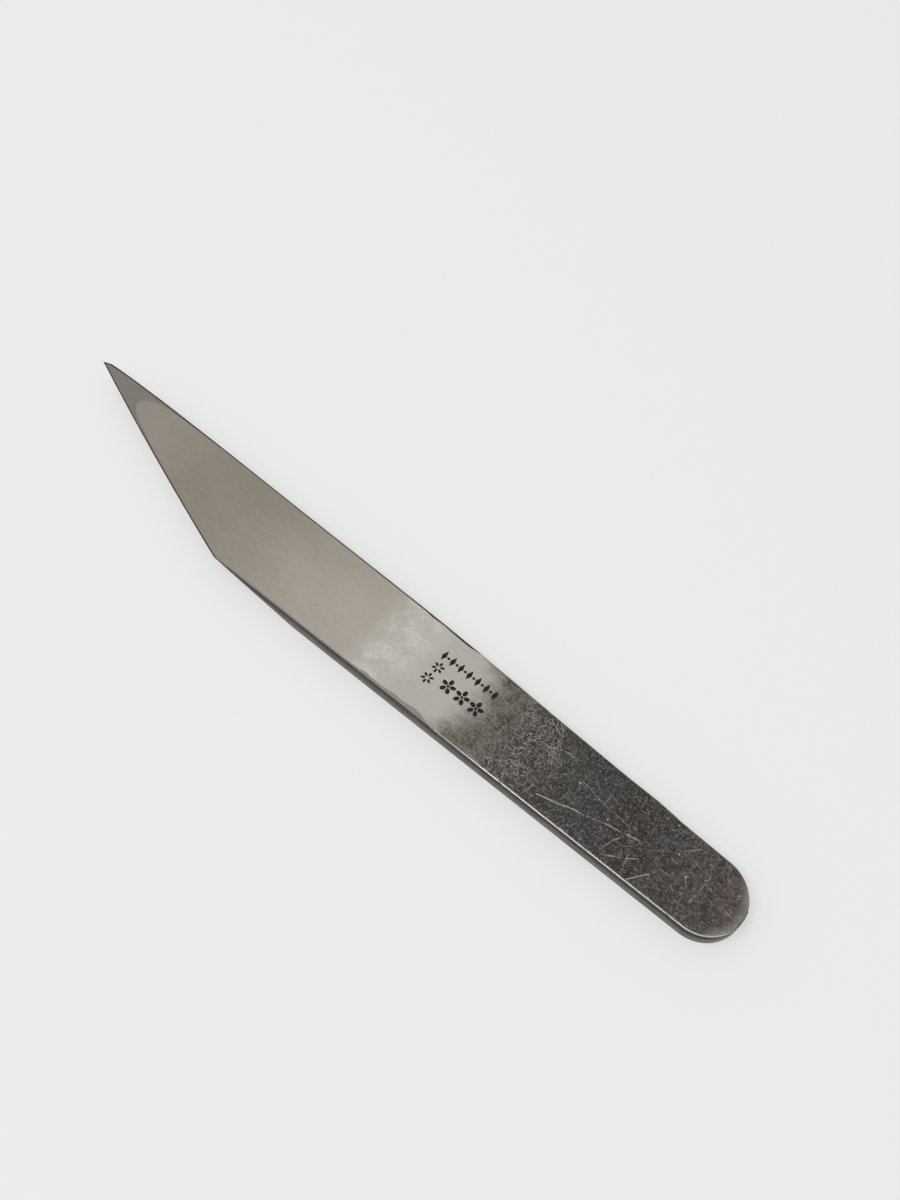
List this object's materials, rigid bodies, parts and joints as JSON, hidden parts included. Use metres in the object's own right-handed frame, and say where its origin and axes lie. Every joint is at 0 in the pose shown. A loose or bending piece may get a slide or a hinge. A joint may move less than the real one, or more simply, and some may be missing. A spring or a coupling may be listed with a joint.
{
  "type": "kiridashi knife",
  "caption": "Single-bevel carving and marking knife of laminated iron and steel, with a slanted edge, hollow-ground back and plain flat handle.",
  "frame": {"origin": "middle of the rectangle round the knife in plan, on the surface that it lies on", "axes": "+X from the point towards the round end of the handle, +Y towards the spine, +Z out of the hollow-ground back, which faces up"},
  "size_m": [0.178, 0.02, 0.004],
  "materials": {
    "forge_scaled_iron": "soft wrought iron under black forge scale, worn and scratched, satin",
    "ground_hard_steel": "belt-ground satin steel with flat-honed lands"
  },
  "bodies": {
    "root": {"soft_iron_body": "forge_scaled_iron", "hard_steel_layer": "ground_hard_steel"}
  },
  "joints": []
}
